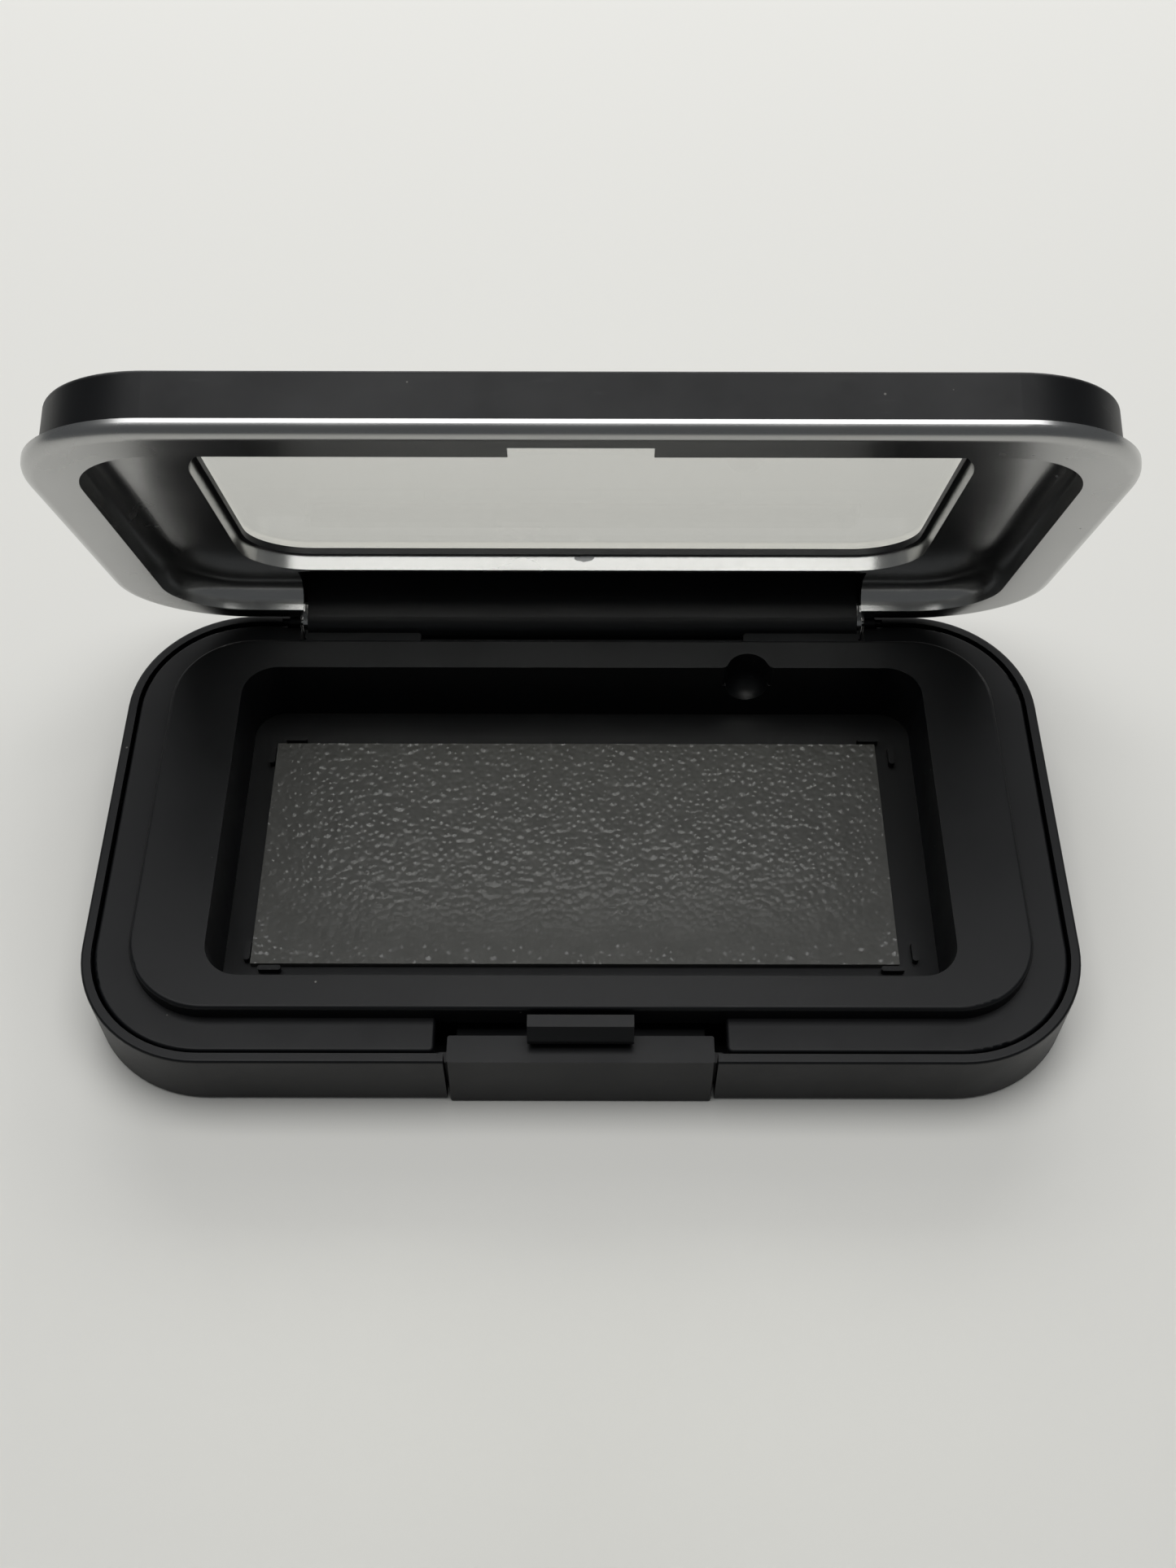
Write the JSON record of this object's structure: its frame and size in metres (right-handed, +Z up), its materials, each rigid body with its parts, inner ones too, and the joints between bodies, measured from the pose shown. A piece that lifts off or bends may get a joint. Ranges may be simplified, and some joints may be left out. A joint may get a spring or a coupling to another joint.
{
  "type": "powder compact",
  "caption": "Flat rectangular makeup compact with rounded corners, hinged windowed lid, front push button, catch hook and an empty magnetic well for powder pans.",
  "frame": {"origin": "centre of the underside of the base", "axes": "+X along the long side to the right of someone facing the button, +Y from the button to the hinge, +Z up"},
  "size_m": [0.1084, 0.0667, 0.0643],
  "materials": {
    "black_case": "satin black moulded plastic",
    "black_insert": "satin black moulded plastic",
    "black_button": "satin black moulded plastic",
    "black_lid": "satin black moulded plastic",
    "adhesive": "thin transfer adhesive",
    "magnet_sheet": "dark grey semi-gloss flexible magnet with a pebbled emboss",
    "pin_steel": "drawn steel wire",
    "silver_liner": "satin silver metallised plastic",
    "clear_pane": "clear moulded plastic sheet"
  },
  "bodies": {
    "base": {"base_shell": "black_case", "base_insert": "black_insert", "sheet_adhesive": "adhesive", "magnetic_sheet": "magnet_sheet", "hinge_pin_left": "pin_steel", "hinge_pin_right": "pin_steel", "button_spring_left": "pin_steel", "button_spring_right": "pin_steel"},
    "button": {"push_button": "black_button"},
    "lid": {"lid_shell": "black_lid", "lid_liner": "silver_liner", "window_bond": "adhesive", "window_pane": "clear_pane"}
  },
  "joints": [
    {"name": "lid_hinge", "type": "hinge", "parent": "base", "child": "lid", "pos_m": [0, 0.02965, 0.00833], "axis": [-1, 0, 0], "range_deg": [-65, 40]},
    {"name": "button_press", "type": "slide", "parent": "base", "child": "button", "axis": [0, 1, 0], "range_m": [0, 0.00105], "stiffness_N_per_m": 1000, "springref_m": -0.0009, "deforming": ["button_spring_left", "button_spring_right"]}
  ]
}
